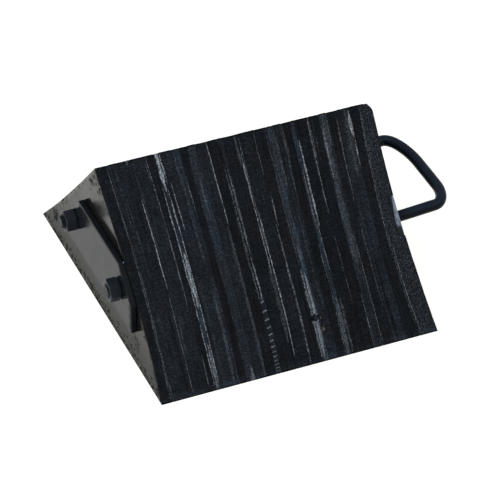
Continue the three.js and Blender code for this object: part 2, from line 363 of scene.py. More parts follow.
def make_object(name, vertices, faces, uvs=None, face_materials=None, sharp_angle=50):
    """A mesh object with outward faces, smooth shading and sharp edges past an angle."""
    mesh = bpy.data.meshes.new(name)
    mesh.from_pydata([tuple(v) for v in vertices], [], [tuple(f) for f in faces])
    if face_materials is not None:
        mesh.polygons.foreach_set("material_index", face_materials)
    if uvs is not None:
        layer = mesh.uv_layers.new(name="surface")
        loops = np.zeros(len(mesh.loops), dtype=np.int32)
        mesh.loops.foreach_get("vertex_index", loops)
        layer.data.foreach_set("uv", np.asarray(uvs, np.float32)[loops].ravel())
    work = bmesh.new()
    work.from_mesh(mesh)
    bmesh.ops.recalc_face_normals(work, faces=work.faces)
    if work.calc_volume(signed=True) < 0:
        bmesh.ops.reverse_faces(work, faces=work.faces)
    work.to_mesh(mesh)
    work.free()
    mesh.shade_smooth()
    mesh.set_sharp_from_angle(angle=math.radians(sharp_angle))
    piece = bpy.data.objects.new(name, mesh)
    scene.collection.objects.link(piece)
    return piece


def bands(rows, count, closed=False):
    """Quads between neighbouring rings of points, ring by ring."""
    faces = []
    for row in range(rows if closed else rows - 1):
        a = row * count
        b = (row + 1) % rows * count
        for i in range(count):
            j = (i + 1) % count
            faces.append((a + i, a + j, b + j, b + i))
    return faces


def stand_for(piece, node, slot, *materials):
    """The piece stands for a CAD node and takes the materials."""
    for item in materials:
        piece.data.materials.append(item)
    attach(piece, "root")
    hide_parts(node)


def prism(name, outline, columns, depths, x_at, holes, low_face, high_face, along, dents):
    """A closed solid with an outline in Y and Z, run across X.

    columns holds the shares from the low to the high side, depths the inward push of each
    outline point at each column, and x_at gives X for a share and points. A face is the
    points inside it and its triangles, as filled_face returns them. dents holds, for each
    side, a function that gives its push along X at points."""
    vertices = []
    uvs = []
    count = len(outline)
    for column, share in enumerate(columns):
        depth = depths[:, column]
        moved = outline[:, :2] - outline[:, 2:] * depth[:, None]
        x = x_at(share, outline[:, 0], outline[:, 1])
        vertices.append(np.column_stack([x, moved]))
        uvs.append(np.column_stack([np.full(count, share), along]))
    faces = bands(len(columns), count)
    kinds = [0] * len(faces)
    total = count * len(columns)
    numbers = []
    for end, (share, face) in enumerate(((columns[0], low_face), (columns[-1], high_face))):
        inner_points = np.vstack([*holes, face[0]])
        y, z = inner_points.T
        x = x_at(share, y, z) + dents[end](y, z)
        vertices.append(np.column_stack([x, inner_points]))
        uvs.append(np.column_stack([np.full(len(x), share), np.full(len(x), 0.5)]))
        edge = [end * (len(columns) - 1) * count + i for i in range(count)]
        number = edge + list(range(total, total + len(inner_points)))
        numbers.append(number)
        total += len(inner_points)
        for triangle in face[1]:
            faces.append(tuple(number[i] for i in triangle))
            kinds.append(1)
    first = count
    for hole in holes:
        for i in range(len(hole)):
            a = first + i
            b = first + (i + 1) % len(hole)
            faces.append((numbers[0][a], numbers[0][b], numbers[1][b], numbers[1][a]))
            kinds.append(1)
        first += len(hole)
    return make_object(name, np.vstack(vertices), faces, np.vstack(uvs), kinds)


ROD_HOLES = [circle(centre, HOLE_RADIUS) for centre in ROD_CENTRES.values()]


def nearest_index(outline, y, z):
    return int(np.argmin((outline[:, 0] - y) ** 2 + (outline[:, 1] - z) ** 2))


def seat_walls():
    """The rim and the foot of the seat's wall, as chains across the last ply's outer face."""
    walls = []
    for out in (WALL, -WALL):
        front, back = SEAT_FRONT - out, SEAT_BACK + out
        bottom, top = SEAT_BOTTOM - out, SEAT_TOP + out
        walls.append([
            nearest_index(WEDGE_OUTLINE, front, HEIGHT + front),
            (front, bottom),
            (back, bottom),
            (back, SEAT_SLANT + out - back),
            (SEAT_SLANT + out - top, top),
            nearest_index(WEDGE_OUTLINE, top - HEIGHT, top),
        ])
    return walls


PLAIN_FACE = filled_face(WEDGE_OUTLINE[:, :2], ROD_HOLES, 13 * MM)
FINE_FACE = filled_face(WEDGE_OUTLINE[:, :2], ROD_HOLES, 6 * MM)
SEAT_FACE = filled_face(WEDGE_OUTLINE[:, :2], ROD_HOLES, 6 * MM, seat_walls())


def side_profile(node):
    """Heights, and a CAD ply's low and high X there, read with rays just under its slope."""
    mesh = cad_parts[node].data
    tree = BVHTree.FromPolygons([v.co for v in mesh.vertices], [p.vertices for p in mesh.polygons])
    heights = np.concatenate([
        np.linspace(0.2 * MM, HEIGHT - APEX_ZONE, 90),
        np.linspace(HEIGHT - APEX_ZONE, HEIGHT - 0.1 * MM, 30)[1:],
    ])
    rows = []
    for z in heights:
        y = -(HEIGHT - z) + 0.08 * MM
        if node == PLY_NAMES[-1] and in_seat(y, z):
            continue
        low = tree.ray_cast(Vector((-1, y, z)), Vector((1, 0, 0)))[0]
        high = tree.ray_cast(Vector((1, y, z)), Vector((-1, 0, 0)))[0]
        if low is not None and high is not None:
            rows.append((z, low.x, high.x))
    return np.array(rows).T


def along_the_cut(outline):
    """How far each outline point is from the apex towards the base edge, from 0 to 1."""
    return np.abs(outline[:, 0]) / HALF_BASE


def surface_grid(outline, across):
    """Distance round an outline and across it, at each outline point and column."""
    travel = np.cumsum(np.r_[0, np.linalg.norm(np.diff(outline[:, :2], axis=0), axis=1)])
    return np.meshgrid(travel, across, indexing="ij")


def dented(sign, depth, spacing, seed):
    """The dents in a prism's face: a push along X at points."""
    return lambda y, z: sign * depth * raised_noise(y, z, spacing, seed)


def ply_relief(number, columns, thickness):
    """Inward push of the ply's cut surface at each outline point and column."""
    outline = WEDGE_OUTLINE
    along = along_the_cut(outline)
    across = np.array(columns) * thickness
    s, a = surface_grid(outline, across)
    v = along[:, None] + 0 * a
    on_slope = np.clip(outline[:, 3] / 0.7, 0, 1)[:, None]
    level = 0.35 * MM * (0.5 + 0.5 * math.sin(number * 2.4))
    relief = level + 0.28 * MM * raised_noise(s, a, (26 * MM, 9 * MM), number)
    relief += 0.13 * MM * raised_noise(s, a, (5 * MM, 2.2 * MM), 100 + number)
    for place, width, start, end, tone, broken in STREAKS.get(number, ()):
        wander = 0.5 * MM * value_noise(s, a * 0, 24 * MM, 200 + number)
        near = np.clip(1.4 - np.abs(a - place * thickness - wander) / (width * MM / 2), 0, 1)
        run = np.clip((v - start) / 0.02, 0, 1) * np.clip((end - v) / 0.02, 0, 1)
        cut = np.clip(1 + broken * 2 * value_noise(s, a, 3.5 * MM, 300 + number), 0, 1)
        relief -= near * run * cut * min(0.34, 0.12 + tone) * MM
    if number == RUNG_PLY:
        wide, narrow = RUNG_PITCHES
        left = np.clip(wide - (v - RUNG_START) / (1 - RUNG_START) * (wide - narrow), narrow, wide)
        rungs = np.clip(np.sin(2 * math.pi * RUNG_TURNS * np.log(wide / left)), 0, 1)
        relief += RUNG_DEPTH * (1 - rungs) * np.clip((v - RUNG_START) / 0.02, 0, 1)
    if number in TORN_PLIES:
        away = np.abs(a - TORN_PLIES[number] * thickness) / (TORN_HALF_WIDTH * MM)
        inward = 1 - away - np.abs(v - TORN_ALONG) / TORN_HALF_LENGTH
        relief += TORN_DEPTH * np.clip(inward * 4 + 0.6, 0, 1)
    chips_and_glints = CHIP_DEPTH * np.clip(value_noise(s, a * 0, 4.5 * MM, 400 + number), 0, 1)
    for side, from_edge in enumerate((across, thickness - across)):
        steps, drops = zip(*EDGE_ROUNDING)
        drop = np.interp(from_edge, steps, drops, right=0)
        wear_and_highlight = np.interp(from_edge, [0, 1.2 * MM], [1, 0])
        relief += drop[None, :] + wear_and_highlight[None, :] * chips_and_glints * (1 if side == number % 2 else 0.4)
    rounding = np.interp(np.minimum(a, thickness - a), *zip(*EDGE_ROUNDING), right=0)
    depth = np.clip(relief, 0, None) * on_slope + rounding * (1 - on_slope)
    height_left = outline[:, 1] / np.maximum(outline[:, 3], 1e-6)
    return np.where(outline[:, 3:4] > 0, np.minimum(depth, height_left[:, None]), depth)


def make_ply(number, cut_material, skin_material):
    node = PLY_NAMES[number - 1]
    heights, lows, highs = side_profile(node)
    thickness = float(np.interp(HEIGHT / 2, heights, highs - lows))
    edges = [step / thickness for step, _ in EDGE_ROUNDING]
    inner = max(2, round((1 - 2 * edges[-1]) * thickness / COLUMN_STEP))
    columns = edges[:-1] + list(np.linspace(edges[-1], 1 - edges[-1], inner + 1))
    columns += [1 - e for e in edges[-2::-1]]
    is_last = number == PLY_COUNT
    tip = WEDGE_OUTLINE[:, 1].max()

    def x_at(share, y, z):
        near_tip = np.clip((z - HEIGHT + APEX_ZONE) / APEX_ZONE, 0, 1)
        z = np.minimum(z + (HEIGHT - tip + np.clip(y, 0, 3 * MM)) * near_tip, HEIGHT)
        low = np.interp(z, heights, lows) - (0 if number == 1 else PLY_SPREAD)
        high = np.interp(z, heights, highs) + (0 if is_last else PLY_SPREAD)
        if is_last:
            high = np.where(in_seat(y, z), SEAT_FLOOR, high)
        return low + (high - low) * share

    dents = [
        dented(sign, DENT_DEPTH, 34 * MM, 50 + number)
        for sign in (int(number == 1), -int(is_last))
    ]
    low_face = FINE_FACE if number == 1 else PLAIN_FACE
    high_face = SEAT_FACE if is_last else PLAIN_FACE
    piece = prism(
        f"ply_{number:02d}", WEDGE_OUTLINE, columns, ply_relief(number, columns, thickness),
        x_at, ROD_HOLES, low_face, high_face, along_the_cut(WEDGE_OUTLINE), dents)
    slot = "ply_crumb" if number == CRUMB_PLY else "ply_grey" if number in GREY_PLIES else "ply_black"
    stand_for(piece, node, slot, cut_material(number, thickness), skin_material)


# ---- material helpers
class Nodes:
    """A short way to write a node tree: each call adds a node and returns its output."""

    def __init__(self, tree):
        self.tree = tree

    def add(self, kind, output=0, settings=None, **inputs):
        node = self.tree.nodes.new(kind)
        for key, value in (settings or {}).items():
            setattr(node, key, value)
        for key, value in inputs.items():
            self.feed(node.inputs[int(key[1:]) if key[1:].isdigit() else key], value)
        return node.outputs[output]

    def feed(self, socket, value):
        if isinstance(value, bpy.types.NodeSocket):
            self.tree.links.new(value, socket)
        else:
            socket.default_value = value

    def math(self, operation, a, b=0, c=0, clamp=False):
        settings = {"operation": operation, "use_clamp": clamp}
        return self.add("ShaderNodeMath", settings=settings, i0=a, i1=b, i2=c)

    def times(self, a, b):
        return self.math("MULTIPLY", a, b)

    def minus(self, a, b):
        return self.math("SUBTRACT", a, b)

    def split(self, vector):
        node = self.tree.nodes.new("ShaderNodeSeparateXYZ")
        self.feed(node.inputs[0], vector)
        return node.outputs

    def ramp(self, value, from_min, from_max, to_min=0, to_max=1):
        return self.add(
            "ShaderNodeMapRange", i0=value, i1=from_min, i2=from_max, i3=to_min, i4=to_max)

    def noise(self, vector, scale, detail=3, roughness=0.55, distortion=0):
        return self.add(
            "ShaderNodeTexNoise", Vector=vector, Scale=scale, Detail=detail,
            Roughness=roughness, Distortion=distortion)

    def vectors(self, operation, output=0, **inputs):
        settings = {"operation": operation}
        return self.add("ShaderNodeVectorMath", output, settings, **inputs)

    def stretched(self, vector, x, y, detail, *more):
        """Noise with its own scale along the first two axes."""
        return self.noise(self.vectors("MULTIPLY", i0=vector, i1=(x, y, 1)), 1, detail, *more)

    def plus(self, a, b):
        return self.vectors("ADD", i0=a, i1=b)

    def tinted(self, value, tint):
        return self.vectors("SCALE", i0=tint, Scale=value)


def new_material(name, **sockets):
    """A material with one Principled shader, its uniform values set on their own sockets."""
    material = bpy.data.materials.new(name)
    material.use_nodes = True
    shader = material.node_tree.nodes["Principled BSDF"]
    nodes = Nodes(material.node_tree)
    for key, value in sockets.items():
        shader.inputs[key.replace("_", " ")].default_value = value
    return material, nodes, shader


def object_position(nodes):
    return nodes.add("ShaderNodeTexCoord", output=3)


def bump(nodes, shader, height, distance, strength=1):
    normal = nodes.add(
        "ShaderNodeBump", Height=height, Distance=distance, Strength=strength)
    nodes.feed(shader.inputs["Normal"], normal)


def spot(nodes, position, place, radius, strength):
    """A soft round spot of the given strength around a place."""
    away = nodes.vectors("DISTANCE", 1, i0=position, i1=place)
    return nodes.ramp(away, radius * 0.4, radius, strength, 0)


def streak_group():
    """One streak: adds its tone to the tone that comes in, inside its width and its run."""
    tree = bpy.data.node_groups.new("streak", "ShaderNodeTree")
    names = ["Tone", "Across", "Along", "Texture", "Centre", "Half width", "Start", "End", "Added", "Broken"]
    for name in names:
        tree.interface.new_socket(name, in_out="INPUT", socket_type="NodeSocketFloat")
    tree.interface.new_socket("Tone", in_out="OUTPUT", socket_type="NodeSocketFloat")
    nodes = Nodes(tree)
    entry = tree.nodes.new("NodeGroupInput")
    tone, across, along, texture, centre, half_width, start, end, added, broken = (
        entry.outputs[name] for name in names)
    distance = nodes.math("ABSOLUTE", nodes.minus(across, centre))
    from_start = nodes.minus(along, start)
    from_end = nodes.minus(end, along)
    taper = nodes.ramp(nodes.math("MINIMUM", from_start, from_end), 0, 0.07, 0.25, 1)
    share = nodes.math("DIVIDE", distance, nodes.times(half_width, taper))
    near = nodes.ramp(share, 0.65, 1.15, 1, 0)
    begun = nodes.ramp(from_start, 0, 0.015)
    over = nodes.ramp(from_end, 0, 0.015)
    gaps = nodes.ramp(texture, 0.45, 0.55)
    kept = nodes.minus(1, nodes.times(broken, gaps))
    amount = nodes.times(nodes.times(near, begun), nodes.times(over, kept))
    total = nodes.math("MULTIPLY_ADD", amount, added, tone)
    leave = tree.nodes.new("NodeGroupOutput")
    nodes.feed(leave.inputs["Tone"], total)
    return tree


STREAK = streak_group()


def streak(nodes, *values):
    """A streak group with its inputs in the order that streak_group lists them."""
    group = nodes.tree.nodes.new("ShaderNodeGroup")
    group.node_tree = STREAK
    for socket, value in zip(group.inputs, values):
        nodes.feed(socket, value)
    return group.outputs[0]


BLUE_RUBBER = (0.78, 1.07, 1.46)
WARM_RUBBER = (0.88, 1.04, 1.38)
PALE_CORD = (0.92, 1, 1.10)
TAN_CORD = (0.115, 0.088, 0.055)


def cut_rubber(number, thickness):
    """The cut face of a ply: its tone, cord streaks, crosswise cutting marks and grain."""
    material, nodes, shader = new_material(
        f"cut_rubber_{number:02d}", Roughness=0.8, Specular_IOR_Level=0.05)
    place = nodes.add("ShaderNodeUVMap", settings={"uv_map": "surface"})
    split = nodes.split(place)
    thick = thickness / MM
    along = split["Y"]
    across = nodes.times(split["X"], thick)
    travel = nodes.times(along, SLOPE / MM)
    position = object_position(nodes)
    surface = nodes.add("ShaderNodeCombineXYZ", X=across, Y=travel, Z=number * 7.3)
    wander = nodes.stretched(surface, 0.02, 0.045, 2)
    ragged = nodes.stretched(surface, 0.45, 0.55, 3, 0.7)
    shift = nodes.math("MULTIPLY_ADD", wander, 2.2, nodes.math("MULTIPLY_ADD", ragged, 2.4, -2.3))
    bent = nodes.math("ADD", across, shift)
    breaks = nodes.stretched(surface, 1.1, 0.42, 3, 0.75)
    fibres = nodes.stretched(surface, 1.4, 0.5, 2, 0.7)
    strands = nodes.stretched(surface, 0.75, 0.03, 2, 0.6)
    patches = nodes.noise(position, 26, 3, 0.6)
    hue = nodes.noise(position, 34, 1)
    comb = nodes.stretched(surface, 0.16, 0.85, 3, 0.6, 0.6)
    grain = nodes.noise(position, 560, 2, 0.7)
    pale = 0.0
    for centre, width, start, end, added, broken in STREAKS.get(number, ()):
        lane = nodes.add("ShaderNodeCombineXYZ", X=centre * 41, Y=travel, Z=number * 3.1)
        swell = nodes.stretched(lane, 1, 0.075, 2)
        half_width = nodes.ramp(swell, 0.35, 0.65, width * 0.28, width * 0.66)
        pale = streak(nodes, pale, bent, along, breaks, centre * thick, half_width, start, end, added, broken)
    shade = 0.0
    for centre, width, start, end, taken in DARK_STREAKS.get(number, ()):
        shade = streak(nodes, shade, bent, along, breaks, centre * thick, width / 2, start, end, taken, 0.25)
    if number == RUNG_PLY:
        pale = nodes.math("ADD", pale, rungs(nodes, across, along, thick))
    if number == CRUMB_PLY:
        pale = nodes.math("ADD", pale, crumbs(nodes, surface))
    specks = nodes.ramp(grain, 0.40, 0.62, *((0.35, 1.75) if number == CRUMB_PLY else (0.58, 1.5)))
    tone = nodes.times(nodes.ramp(patches, 0.25, 0.75, 0.66, 1.40), PLY_TONES[number - 1])
    for value, *span in (
        (comb, 0.3, 0.7, 0.5, 1.5),
        (strands, 0.3, 0.7, 0.65, 1.4),
        (fibres, 0.36, 0.64, 0.62, 1.4),
        (along, 0.962, 0.985, 1, 1.45),
        (along, 0.002, 0.012, 0.3, 1),
        (along, 0.988, 0.996, 1, 0.4),
    ):
        tone = nodes.times(tone, nodes.ramp(value, *span))
    pale = nodes.times(pale, nodes.ramp(fibres, 0.39, 0.61, 0.3, 2.6))
    if number in DARK_STREAKS:
        tone = nodes.times(tone, nodes.math("SUBTRACT", 1, shade, clamp=True))
    if number in TORN_PLIES:
        inward = torn_inward(nodes, bent, along, TORN_PLIES[number] * thick)
        tone = nodes.times(tone, nodes.ramp(inward, -0.12, 0, 1, 0.15))
        tone = nodes.times(tone, nodes.ramp(inward, 0.1, 0.3, 1, 4.5))
        pale = nodes.times(pale, nodes.ramp(inward, -0.1, 0, 1, 0))
    warm = nodes.ramp(hue, 0.4, 0.6)
    tint = nodes.add(
        "ShaderNodeMix", output=1, settings={"data_type": "VECTOR"}, i0=warm, i4=BLUE_RUBBER, i5=WARM_RUBBER)
    mixed = nodes.plus(nodes.tinted(tone, tint), nodes.tinted(pale, PALE_CORD))
    for ply, speck, radius in TAN_SPECKS:
        if ply == number:
            mixed = nodes.plus(mixed, nodes.tinted(spot(nodes, position, speck, radius, 0.55), TAN_CORD))
    nodes.feed(shader.inputs["Base Color"], nodes.tinted(specks, mixed))
    nodes.feed(shader.inputs["Roughness"], nodes.ramp(patches, 0.3, 0.7, 0.66, 0.86))
    height = nodes.math("ADD", nodes.times(comb, 0.7), nodes.times(grain, 0.3))
    bump(nodes, shader, height, 0.6 * MM, 0.9)
    return material


def torn_inward(nodes, across, along, middle):
    """How far inside the torn place's diamond, from below 0 outside to 1 in its middle."""
    away = nodes.math("ABSOLUTE", nodes.minus(across, middle))
    reach = nodes.math("ABSOLUTE", nodes.minus(along, TORN_ALONG))
    away = nodes.times(away, 1 / TORN_HALF_WIDTH)
    reach = nodes.times(reach, 1 / TORN_HALF_LENGTH)
    return nodes.minus(nodes.minus(1, away), reach)


def rungs(nodes, across, along, thick):
    """Pale rungs across a ply, closer together towards the base edge."""
    run = nodes.minus(along, RUNG_START)
    spent = nodes.times(run, (RUNG_PITCHES[0] - RUNG_PITCHES[1]) / (1 - RUNG_START))
    left = nodes.math("MAXIMUM", nodes.minus(RUNG_PITCHES[0], spent), RUNG_PITCHES[1])
    turns = nodes.math("LOGARITHM", nodes.math("DIVIDE", RUNG_PITCHES[0], left), math.e)
    turns = nodes.math("MULTIPLY_ADD", turns, RUNG_TURNS, nodes.times(across, 0.03))
    wave = nodes.math("SINE", nodes.times(turns, 2 * math.pi))
    crest = nodes.ramp(wave, 0.70, 0.98, 0, 0.085)
    started = nodes.ramp(run, 0, 0.01)
    middle = nodes.math("ABSOLUTE", nodes.minus(across, thick * 0.47))
    inside_ply = nodes.ramp(middle, thick * 0.33, thick * 0.42, 1, 0)
    return nodes.times(nodes.times(crest, started), inside_ply)


def crumbs(nodes, surface):
    """Fine pale specks of reclaimed rubber."""
    cells = nodes.noise(surface, 1.3, 2, 0.8)
    return nodes.ramp(cells, 0.56, 0.66, 0, 0.048)


def moulded_skin():
    """The smooth side of a ply: nearly mirror black, with smudges and dull scuffed edges."""
    material, nodes, shader = new_material(
        "moulded_skin", Specular_IOR_Level=0.068, Specular_Tint=(0.98, 1.02, 0.93, 1))
    position = object_position(nodes)
    split = nodes.split(position)
    height = split["Z"]
    side = nodes.math("ABSOLUTE", split["Y"])
    from_slope = nodes.minus(nodes.minus(HEIGHT, height), side)
    near_base = nodes.ramp(height, 1 * MM, 20 * MM, 1, 0)
    near_slope = nodes.ramp(from_slope, 0, 20 * MM, 0.6, 0)
    near_apex = nodes.ramp(height, HEIGHT - 62 * MM, HEIGHT - 20 * MM, 0, 0.75)
    near_edge = nodes.math("MAXIMUM", nodes.math("MAXIMUM", near_base, near_slope), near_apex)
    for place, radius, strength in SKIN_SMUDGES:
        near_edge = nodes.math("MAXIMUM", near_edge, spot(nodes, position, place, radius, strength))
    blots = nodes.noise(position, 170, 5, 0.75)
    smudges = nodes.noise(position, 18, 4, 0.6)
    wear = nodes.math("MULTIPLY_ADD", near_edge, 0.17, blots)
    stain = nodes.ramp(wear, 0.60, 0.72)
    flecks = nodes.ramp(nodes.noise(position, 260, 2, 0.5), 0.72, 0.78)
    dull = nodes.math("MAXIMUM", stain, flecks)
    film = nodes.ramp(smudges, 0.35, 0.7, 0.10, 0.17)
    scuffs = nodes.math("MULTIPLY_ADD", near_edge, 0.08, nodes.times(dull, 0.6))
    film = nodes.math("ADD", film, nodes.ramp(height, 0, HEIGHT * 0.75, 0.08, 0))
    rough = nodes.math("ADD", film, scuffs, clamp=True)
    nodes.feed(shader.inputs["Roughness"], rough)
    tone = nodes.math("MULTIPLY_ADD", dull, -0.003, nodes.ramp(smudges, 0.3, 0.7, 0.007, 0.011))
    nodes.feed(shader.inputs["Base Color"], nodes.tinted(tone, (1, 1.03, 0.95)))
    bump(nodes, shader, nodes.minus(smudges, nodes.times(dull, 0.25)), 0.3 * MM, 0.25)
    return material


def black_paint(name, roughness, tone, shine, tint=(0.78, 0.96, 1.30), chips_and_glints=(), painted_light_from_above=False):
    """Black paint over steel, with orange peel, dust and dull flecks. The given spots are painted highlights,
    and on request upward faces get painted light and downward faces painted shade.
    """
    material, nodes, shader = new_material(
        name, Specular_IOR_Level=shine, Specular_Tint=(0.97, 1.01, 0.93, 1))
    position = object_position(nodes)
    peel = nodes.noise(position, 420, 2, 0.5)
    cloud = nodes.noise(position, 40, 4, 0.65)
    dust = nodes.ramp(nodes.noise(position, 700, 3, 0.7), 0.60, 0.72, 0, tone * 1.6)
    colour = nodes.math("ADD", nodes.ramp(cloud, 0.3, 0.7, tone * 0.75, tone * 1.3), dust)
    if painted_light_from_above:
        # Painted light and shade: faces turned up are lightened and faces turned down are darkened, by their
        # normal.
        facing = nodes.split(nodes.add("ShaderNodeNewGeometry", output=1))
        colour = nodes.times(colour, nodes.ramp(facing["Z"], 0.1, 0.85, 0.35, 1.5))
    # Painted highlights: a bright spot at each given place.
    for place, radius in chips_and_glints:
        colour = nodes.math("ADD", colour, spot(nodes, position, place, radius, 0.35))
    nodes.feed(shader.inputs["Base Color"], nodes.tinted(colour, tint))
    film = nodes.ramp(cloud, 0.3, 0.7, roughness - 0.06, roughness + 0.1)
    flecks = nodes.ramp(nodes.noise(position, 230, 3, 0.6), 0.70, 0.76, 0, 0.5)
    nodes.feed(shader.inputs["Roughness"], nodes.math("ADD", film, flecks, clamp=True))
    height = nodes.math("MULTIPLY_ADD", cloud, 1.5, peel)
    bump(nodes, shader, height, 0.12 * MM, 0.5)
    return material


# Shares of the handle-end plate's height where its painted highlight ends, is widest and begins.
HIGHLIGHT_FOOT, HIGHLIGHT_WIDEST, HIGHLIGHT_TOP = 0.6, 0.7, 1.16


def rim_with_painted_highlight():
    """The rim of the handle-end plate: black paint, with a pale bluish painted highlight on the front side
    where it meets the cut.
    """
    material, nodes, shader = new_material("rim_painted_highlight", Roughness=0.5, Specular_IOR_Level=0.1)
    position = object_position(nodes)
    split = nodes.split(position)
    rise = nodes.ramp(split["Z"], PLATE_LOW.z, PLATE_HIGH.z)
    depth = nodes.ramp(split["X"], PLATE_LOW.x, PLATE_HIGH.x)
    clouds = nodes.noise(position, 160, 3, 0.7)
    rise = nodes.math("ADD", rise, nodes.math("MULTIPLY_ADD", clouds, 0.12, -0.06))
    # Painted highlight: the rim turns pale where it meets the cut, mostly on the front side.
    wide = nodes.ramp(rise, HIGHLIGHT_TOP, HIGHLIGHT_WIDEST, 0, 1)
    reach = nodes.minus(depth, nodes.minus(1, wide))
    wear_and_highlight = nodes.times(nodes.ramp(reach, -0.05, 0.15), nodes.ramp(rise, HIGHLIGHT_FOOT, HIGHLIGHT_WIDEST))
    wear_and_highlight = nodes.times(wear_and_highlight, nodes.ramp(clouds, 0.35, 0.6, 0.5, 1.15))
    front = nodes.ramp(split["Y"], 0, 1 * MM, 1, 0.1)
    tone = nodes.math("MULTIPLY_ADD", nodes.times(wear_and_highlight, front), 0.19, 0.014)
    nodes.feed(shader.inputs["Base Color"], nodes.tinted(tone, (0.83, 0.97, 1.18)))
    bump(nodes, shader, clouds, 0.3 * MM, 0.5)
    return material


# ---- hardware
def plate_outline():
    """The clamp plate's outline: a bar whose upper corners are cut parallel to the slopes."""
    front, back = PLATE_CUTS["front"], PLATE_CUTS["back"]
    low, high = NUT_PLATE_LOW, NUT_PLATE_HIGH
    corners = [
        (low.y, low.z), (low.y, high.z - front), (low.y + front, high.z),
        (high.y - back, high.z), (high.y, high.z - back), (high.y, low.z),
    ]
    return rounded_outline(corners, [1.2 * MM] * 6, lambda point: 3.5 * MM)


PLATE_OUTLINE = plate_outline()
PLATE_FACE = filled_face(PLATE_OUTLINE[:, :2], ROD_HOLES, 7 * MM)


def make_plate(node, rim, face, seed):
    low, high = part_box(node)
    thickness = high.x - low.x
    rounding = [(0.0, 0.55 * MM), (0.2 * MM, 0.2 * MM), (0.6 * MM, 0.0)]
    shares = [step / thickness for step, _ in rounding] + [0.35, 0.5, 0.65]
    shares += [1 - step / thickness for step, _ in reversed(rounding)]
    across = np.array(shares) * thickness
    edge = np.minimum(across, thickness - across)
    push = np.interp(edge, *zip(*rounding), right=0)
    s, a = surface_grid(PLATE_OUTLINE, across)
    crisp = np.where(PLATE_OUTLINE[:, 3:] < -0.5, 0.1, 1.0)
    depths = crisp * push[None, :]
    depths += 0.12 * MM * raised_noise(s, a, (9 * MM, 4 * MM), seed)

    def x_at(share, y, z):
        return low.x + thickness * share + 0 * y

    dents = [dented(sign, 0.15 * MM, 30 * MM, seed + 1) for sign in (1, -1)]
    piece = prism(
        node.replace("clamp_plate", "plate"), PLATE_OUTLINE, shares, depths, x_at,
        ROD_HOLES, PLATE_FACE, PLATE_FACE, np.zeros(len(PLATE_OUTLINE)), dents)
    stand_for(piece, node, "clamp_steel", rim, face)


def turned(name, centre, rings, segments, closed=True, highlight_rows=()):
    """A solid turned about X. rings is a list of (x, radius for each of the angles)."""
    turn = angles(segments)
    vertices = []
    for x, radius in rings:
        radius = np.broadcast_to(radius, segments)
        x = np.broadcast_to(x, segments)
        vertices.append(np.column_stack([
            x, centre.y + radius * np.cos(turn), centre.z + radius * np.sin(turn)]))
    rows = len(rings)
    faces = bands(rows, segments, closed)
    kinds = [int(i // segments in highlight_rows) for i in range(len(faces))]
    if not closed:
        faces.append(tuple(range(segments)))
        faces.append(tuple((rows - 1) * segments + i for i in range(segments)))
        kinds += [0, 0]
    return make_object(name, np.vstack(vertices), faces, face_materials=kinds, sharp_angle=38)


# Rows of faces that get the paler paint as a painted highlight: the rims of a rod's end and of a nut's outer
# face.
ROD_HIGHLIGHT_ROWS = {3, 4}
NUT_HIGHLIGHT_ROWS = {0, 2}
NUT_ACROSS_FLATS = 24 * MM
THREAD_PITCH = 2.0 * MM
THREAD_DEPTH = 0.75 * MM


def thread(x, segments, crest):
    """Radius of a V thread at one place along X, for each of the angles."""
    turn = np.arange(segments) / segments
    phase = (x / THREAD_PITCH + turn) % 1
    return crest - THREAD_DEPTH * np.clip(np.abs(phase * 2 - 1) * 1.25 - 0.12, 0, 1)


def make_rod(side, material, wear_and_highlight):
    node = f"tie_rod_{side}"
    low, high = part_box(node)
    segments = 48
    nut_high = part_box(f"nut_{side}")[1]
    rings = []
    for share in (0.0, 0.25, 0.5, 0.75, 0.93):
        rings.append((low.x + 0.35 * MM * (1 - share), share * (ROD_RADIUS - 1.6 * MM)))
    rings[0] = (rings[0][0], 0.4 * MM)
    threaded_to = nut_high.x + 2 * MM
    x = low.x
    while x < threaded_to:
        limit = ROD_RADIUS - 1.5 * MM + min(1.5 * MM, (x - low.x))
        rings.append((x, np.minimum(thread(x, segments, ROD_RADIUS), limit)))
        x += THREAD_PITCH / 8
    for x in np.linspace(threaded_to + 0.5 * MM, high.x - 0.6 * MM, 40):
        rings.append((x, ROD_RADIUS))
    rings.append((high.x, ROD_RADIUS - 0.6 * MM))
    rod = turned(f"rod_{side}", middle_of(node), rings, segments, False, ROD_HIGHLIGHT_ROWS)
    stand_for(rod, node, "rod_steel", material, wear_and_highlight)


def hex_radius(turn, spin):
    """Distance from the middle of a hexagon to its side, with slightly rounded corners."""
    angle = (turn - spin) % (math.pi / 3) - math.pi / 6
    radius = NUT_ACROSS_FLATS / 2 / np.cos(angle)
    return np.minimum(radius, NUT_ACROSS_FLATS / math.sqrt(3) * 0.985)


def corner_angle(node):
    """The direction of a nut's corner, read from the CAD node."""
    centre = middle_of(node)
    corners = [(v.co.y - centre.y, v.co.z - centre.z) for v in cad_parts[node].data.vertices]
    y, z = max(corners, key=lambda c: math.hypot(*c))
    return math.atan2(z, y)


